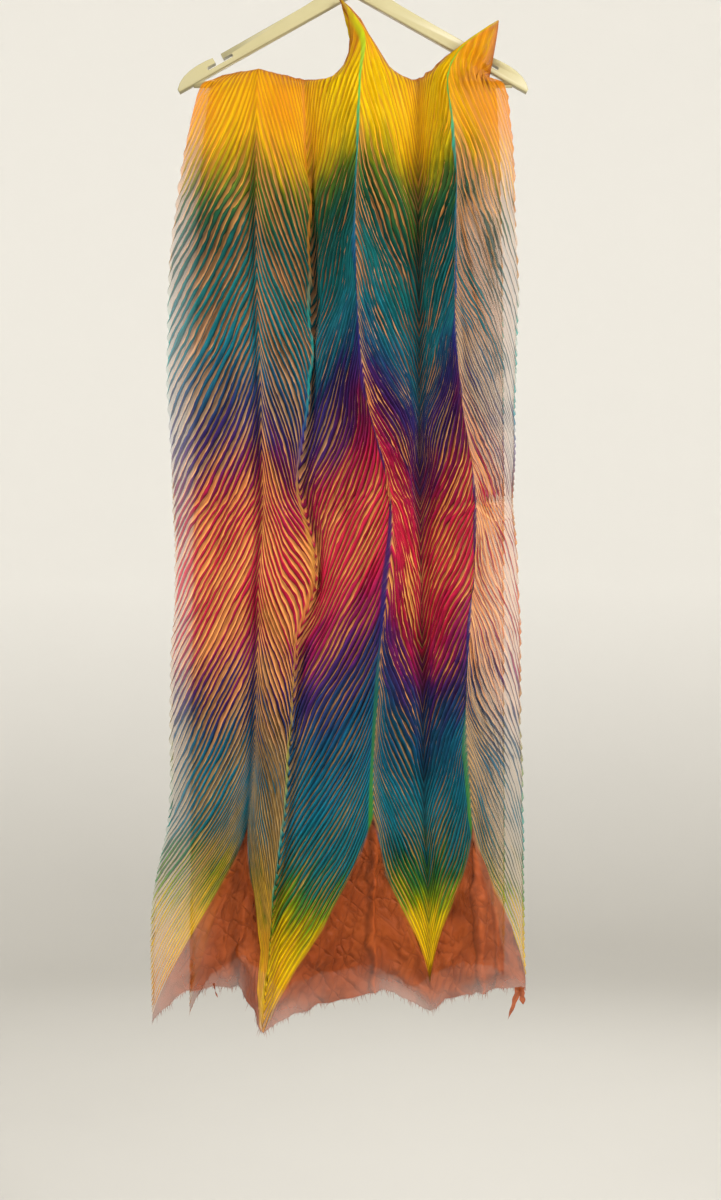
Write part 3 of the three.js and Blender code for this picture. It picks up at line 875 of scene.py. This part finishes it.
# Sheerness: dyed silk hides most of what is behind it, bound and bare silk less. For each: how much it
# hides where it lies shut and where it lies open.
COVERS = {"bound": (0.92, 0.30), "dyed": (0.98, 0.78), "bare": (0.92, 0.5)}
CRINKLE_DEEP = 2.4
CREASE_DEEP = 20
GLOW = 0.3
cover = {
    name: add_node(tree, RANGE, [read["open"], 0.0, 1.0, shut, opened])
    for name, (shut, opened) in COVERS.items()
}
pleated_cover = add_node(tree, RANGE, [took_dye, 0.0, 1.0, cover["bound"], cover["dyed"]])
all_cover = add_node(tree, RANGE, [read["bare"], 0.0, 1.0, pleated_cover, cover["bare"]])
creased = add_node(tree, MATH, [crumple, read["bare"]], operation="MULTIPLY")
bump = add_node(tree, "ShaderNodeBump", {"Height": crinkle, "Strength": 0.4, "Distance": CRINKLE_DEEP * MM})
bump = add_node(
    tree,
    "ShaderNodeBump",
    {"Height": creased, "Strength": 1.0, "Distance": CREASE_DEEP * MM, "Normal": bump},
)
shining = add_node(
    tree,
    "ShaderNodeBsdfPrincipled",
    {"Base Color": colour, "Roughness": 0.5, "IOR": 1.54, "Specular IOR Level": 0.08, "Normal": bump},
)
glowing = add_node(tree, "ShaderNodeBsdfTranslucent", {"Color": colour, "Normal": bump})
woven = add_node(tree, "ShaderNodeMixShader", [GLOW, shining, glowing])
gaps = add_node(tree, "ShaderNodeBsdfTransparent")
organza = add_node(tree, "ShaderNodeMixShader", [all_cover, gaps, woven])
add_node(tree, "ShaderNodeOutputMaterial", {"Surface": organza})

# The fine pleats stand up from the sheet as waves along its pleat count, sharper at the crest than in the
# groove, and higher the wider they lie.
PLEATING = {"Height Share": 0.2, "Crest Sharpness": 0.25}


def new_group(name, takes, sizes, gives):
    group = bpy.data.node_groups.new(name, "GeometryNodeTree")
    group.interface.new_socket(takes, in_out="INPUT", socket_type="NodeSocketGeometry")
    for size, value in sizes.items():
        kind = "NodeSocketInt" if isinstance(value, int) else "NodeSocketFloat"
        group.interface.new_socket(size, in_out="INPUT", socket_type=kind)
    group.interface.new_socket(gives, in_out="OUTPUT", socket_type="NodeSocketGeometry")
    return group


pleating = new_group("fine_pleats", "Cloth", PLEATING, "Cloth")
sizes = add_node(pleating, "NodeGroupInput").outputs
pleat_count, standing = (
    add_node(pleating, "GeometryNodeInputNamedAttribute", {"Name": name}, data_type="FLOAT")
    for name in ("pleat", "stand")
)
turns = add_node(pleating, MATH, [pleat_count, 2 * math.pi], operation="MULTIPLY")
twice = add_node(pleating, MATH, [turns, 2.0], operation="MULTIPLY")
wave = add_node(pleating, MATH, [turns], operation="COSINE")
sharper = add_node(pleating, MATH, [twice], operation="COSINE")
wave = add_node(pleating, MATH, [sharper, sizes["Crest Sharpness"], wave], operation="MULTIPLY_ADD")
for factor in (standing, sizes["Height Share"]):
    wave = add_node(pleating, MATH, [wave, factor], operation="MULTIPLY")
facing = add_node(pleating, "GeometryNodeInputNormal")
push = add_node(pleating, VECTOR_MATH, {0: facing, "Scale": wave}, operation="SCALE")
pleated = add_node(pleating, "GeometryNodeSetPosition", {"Geometry": sizes["Cloth"], "Offset": push})
pleated = add_node(pleating, "GeometryNodeRealizeInstances", {"Geometry": pleated})
coloured = add_node(pleating, "GeometryNodeSetMaterial", {"Geometry": pleated, "Material": silk})
add_node(pleating, "NodeGroupOutput", {"Cloth": coloured})


def made_with(piece, tree, sizes):
    modifier = piece.modifiers.new(tree.name, "NODES")
    modifier.node_group = tree
    for socket in tree.interface.items_tree:
        if socket.in_out == "INPUT" and socket.name in sizes:
            modifier[socket.identifier] = sizes[socket.name]
    depsgraph = bpy.context.evaluated_depsgraph_get()
    mesh = bpy.data.meshes.new_from_object(
        piece.evaluated_get(depsgraph), preserve_all_data_layers=True, depsgraph=depsgraph
    )
    piece.modifiers.remove(modifier)
    return mesh


silk_cloth = in_scene("pleated_silk", sheet)
silk_cloth.data = made_with(silk_cloth, pleating, PLEATING)

# It rests on the bar: what the pleats pushed into the bar is laid back on it.
points = np.zeros(len(silk_cloth.data.vertices) * 3, np.float32)
silk_cloth.data.vertices.foreach_get("co", points)
points = points.reshape(-1, 3)
from_bar = points[:, 1:] - np.array([0, bar_z * MM], np.float32)
away = np.linalg.norm(from_bar, axis=1)
clear = (BAR_RADIUS + SEAT_GAP) * MM
sunk = away < clear
points[sunk, 1:] += from_bar[sunk] * (clear / away[sunk] - 1)[:, None]
silk_cloth.data.vertices.foreach_set("co", points.ravel())
silk_cloth.data.update()

# The raw hems have frayed into short ends of silk, a few of them long. Real threads are a tenth of a
# millimetre thick: these are thicker, so that they show.
FRAYING = {"Spacing": 1.1 * MM, "Shortest": 1.0 * MM, "Longest": 12 * MM, "Radius": 0.35 * MM}
FRAYING.update({"Tilt": math.radians(26), "Seed": 7})
FEW_LONG = 3.0
hems = np.concatenate([cloth[0], cloth[-1]])
hem_edges = [(start + c, start + c + 1) for start in (0, wide) for c in range(wide - 1)]
hem_line = bpy.data.meshes.new("frayed_hem")
hem_line.from_pydata(hems.tolist(), hem_edges, [])
fraying = new_group("fraying", "Hem", FRAYING, "Threads")
sizes = add_node(fraying, "NodeGroupInput").outputs
hem_curve = add_node(fraying, "GeometryNodeMeshToCurve", {"Mesh": sizes["Hem"]})
along_hem = add_node(
    fraying, "GeometryNodeResampleCurve", {"Curve": hem_curve, "Length": sizes["Spacing"]}, mode="LENGTH"
)
thread = add_node(
    fraying,
    "GeometryNodeMeshCone",
    {"Vertices": 3, "Side Segments": 2, "Radius Top": 0.0, "Radius Bottom": sizes["Radius"], "Depth": 1.0},
)
RANDOM_LOW, RANDOM_HIGH = 2, 3
chance = add_node(
    fraying,
    "FunctionNodeRandomValue",
    {RANDOM_LOW: 0.0, RANDOM_HIGH: 1.0, "Seed": sizes["Seed"]},
    data_type="FLOAT",
)
few_long = add_node(fraying, MATH, [chance.outputs[1], FEW_LONG], operation="POWER")
spread = add_node(fraying, MATH, [sizes["Longest"], sizes["Shortest"]], operation="SUBTRACT")
length = add_node(fraying, MATH, [few_long, spread, sizes["Shortest"]], operation="MULTIPLY_ADD")
size = add_node(fraying, "ShaderNodeCombineXYZ", {"X": 1.0, "Y": 1.0, "Z": length})
lean = add_node(
    fraying,
    "FunctionNodeRandomValue",
    {0: (-1.0, -1.0, -1.0), 1: (1.0, 1.0, 1.0), "Seed": sizes["Seed"]},
    data_type="FLOAT_VECTOR",
)
lean = add_node(fraying, VECTOR_MATH, {0: lean, "Scale": sizes["Tilt"]}, operation="SCALE")
downward = add_node(fraying, VECTOR_MATH, [lean, (math.pi, 0.0, 0.0)], operation="ADD")
turned = add_node(fraying, "FunctionNodeEulerToRotation", {"Euler": downward})
threads = add_node(
    fraying,
    "GeometryNodeInstanceOnPoints",
    {"Points": along_hem, "Instance": thread, "Rotation": turned, "Scale": size},
)
threads = add_node(fraying, "GeometryNodeRealizeInstances", {"Geometry": threads})
plain_ends = add_node(
    fraying,
    "GeometryNodeStoreNamedAttribute",
    {"Geometry": threads, "Name": "bare", "Value": 1.0},
    data_type="FLOAT",
    domain="POINT",
)
coloured = add_node(fraying, "GeometryNodeSetMaterial", {"Geometry": plain_ends, "Material": silk})
add_node(fraying, "NodeGroupOutput", {"Threads": coloured})
frayed = in_scene("frayed_hem", hem_line)
frayed.data = made_with(frayed, fraying, FRAYING)

# The front hem is torn into narrow strips, two at its right end and one at its left, which hang twisted.
# For each: the fold place it hangs from, its length, width, turns and how far its foot lies to the side.
STRIPS = ((5.80, 36, 9, 0.2, -13), (5.92, 17, 8, -0.12, 2), (0.7, 14, 3, 0.6, 5))
STRIP_STEPS = 16
STRIP_ABOVE_HEM = 3
STRIP_TILT = 0.15
STRIP_WAIST = 0.3
STRIP_WAISTS = 9
STRIP_SWAY = 2
STRIP_SWAYS = 5
STRIP_BLUNT = 6
TURN_LATE = 1.3
ASIDE_LATE = 1.4
strip_points = []
strip_faces = []
for hangs_at, strip_long, strip_wide, strip_turns, aside in STRIPS:
    start = hems[np.argmin(np.abs(fold - hangs_at))] / MM
    first = len(strip_points)
    for k in range(STRIP_STEPS + 1):
        t = k / STRIP_STEPS
        turn = 2 * math.pi * strip_turns * t**TURN_LATE
        waist = 1 - STRIP_WAIST * math.sin(STRIP_WAISTS * t) ** 2
        half = strip_wide / 2 * waist * min(1, STRIP_BLUNT * (1 - t))
        down = STRIP_ABOVE_HEM - (strip_long + STRIP_ABOVE_HEM) * t
        sway = STRIP_SWAY * math.sin(STRIP_SWAYS * t)
        middle = start + np.array([aside * t**ASIDE_LATE, sway, down])
        across = half * np.array([math.cos(turn), math.sin(turn), STRIP_TILT])
        strip_points += [((middle - across) * MM).tolist(), ((middle + across) * MM).tolist()]
        if k:
            a = first + 2 * k
            strip_faces.append((a - 2, a - 1, a + 1, a))
strip_mesh = bpy.data.meshes.new("torn_strips")
strip_mesh.from_pydata(strip_points, [], strip_faces)
all_bare = np.ones(len(strip_points), np.float32)
strip_mesh.attributes.new("bare", "FLOAT", "POINT").data.foreach_set("value", all_bare)
strip_mesh.shade_smooth()
strip_mesh.materials.append(silk)
torn = in_scene("torn_strips", strip_mesh)

for piece in (silk_cloth, frayed, torn):
    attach(piece, "root")
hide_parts("silk_cloth")


# The studio: a pale round floor that curves up into a wall, well away from the hanging cloth, with a large
# soft lamp to the right, a weaker one to the left and light from all round.
FLOOR_BELOW = 1.9
FLOOR_RADIUS = 4.4
WALL_TALL = 6.0
CURVE_RADIUS = 1.2
CURVE_STEPS = 12
ROUND_STEPS = 64
rim = [(0.0, 0.0), (FLOOR_RADIUS - CURVE_RADIUS, 0.0)]
for i in range(1, CURVE_STEPS + 1):
    bend = math.pi / 2 * i / CURVE_STEPS
    reach = FLOOR_RADIUS - CURVE_RADIUS + CURVE_RADIUS * math.sin(bend)
    rim.append((reach, CURVE_RADIUS * (1 - math.cos(bend))))
rim.append((FLOOR_RADIUS, WALL_TALL))
studio_mesh = bpy.data.meshes.new("studio_floor")
studio_shape = bmesh.new()
edge = [studio_shape.verts.new((reach, 0, up - FLOOR_BELOW)) for reach, up in rim]
lines = [studio_shape.edges.new(pair) for pair in zip(edge, edge[1:])]
bmesh.ops.spin(
    studio_shape, geom=edge + lines, axis=(0, 0, 1), angle=2 * math.pi, steps=ROUND_STEPS, use_merge=True
)
bmesh.ops.remove_doubles(studio_shape, verts=studio_shape.verts, dist=JOIN_WITHIN * MM)
studio_shape.to_mesh(studio_mesh)
studio_shape.free()
studio_mesh.shade_smooth()

# Matt white paint, faintly clouded by the roller, and greyer on the floor than up the wall: painted shade
# that evens out the strong light falling on the floor.
CLOUD_SCALE = 1.2
CLOUDED = 0.1
white_paint = new_material("matt_white_paint")
tree = white_paint.node_tree
where = add_node(tree, "ShaderNodeTexCoord").outputs["Object"]
clouds = add_node(tree, NOISE, {"Vector": where, "Scale": CLOUD_SCALE, "Detail": 3.0})
height = add_node(tree, "ShaderNodeSeparateXYZ", {"Vector": where}).outputs["Z"]
wall = add_node(tree, RANGE, [height, -FLOOR_BELOW, CURVE_RADIUS - FLOOR_BELOW])
# The roller's clouds, and painted shade that makes the floor greyer than the wall.
clouds_and_painted_floor_shade = add_node(tree, MATH, [clouds, CLOUDED, wall], operation="MULTIPLY_ADD")
white = laid_over(tree, linear("#C4C1BA"), [(clouds_and_painted_floor_shade, linear("#FDFBF6"), "MIX")])
matt = add_node(tree, "ShaderNodeBsdfPrincipled", {"Base Color": white, "Roughness": 0.9})
add_node(tree, "ShaderNodeOutputMaterial", {"Surface": matt})
studio_mesh.materials.append(white_paint)
studio = in_scene("studio_floor", studio_mesh)

SKY_STRENGTH = 0.84
sky = bpy.data.worlds.new("soft_light")
sky.use_nodes = True
sky.node_tree.nodes["Background"].inputs["Color"].default_value = linear("#FBF8F2")
sky.node_tree.nodes["Background"].inputs["Strength"].default_value = SKY_STRENGTH
scene.world = sky
LAMP_AIM = Vector((0, 0, -0.75))
LAMPS = (
    ("key_lamp", (1.9, -1.9, 0.5), 1.0, 92),
    ("fill_lamp", (-2.0, -2.0, 0.2), 1.8, 42),
    ("back_lamp", (0.6, 2.4, 0.4), 1.8, 32),
)
for name, spot, size, watts in LAMPS:
    lamp_data = bpy.data.lights.new(name, "AREA")
    lamp_data.size = size
    lamp_data.energy = watts
    lamp = in_scene(name, lamp_data)
    lamp.location = spot
    lamp.rotation_euler = (LAMP_AIM - Vector(spot)).to_track_quat("-Z", "Y").to_euler()
    lamp.visible_camera = False
scene.view_settings.view_transform = "Standard"
scene.cycles.max_bounces = 5
scene.cycles.diffuse_bounces = 2
scene.cycles.transparent_max_bounces = 12
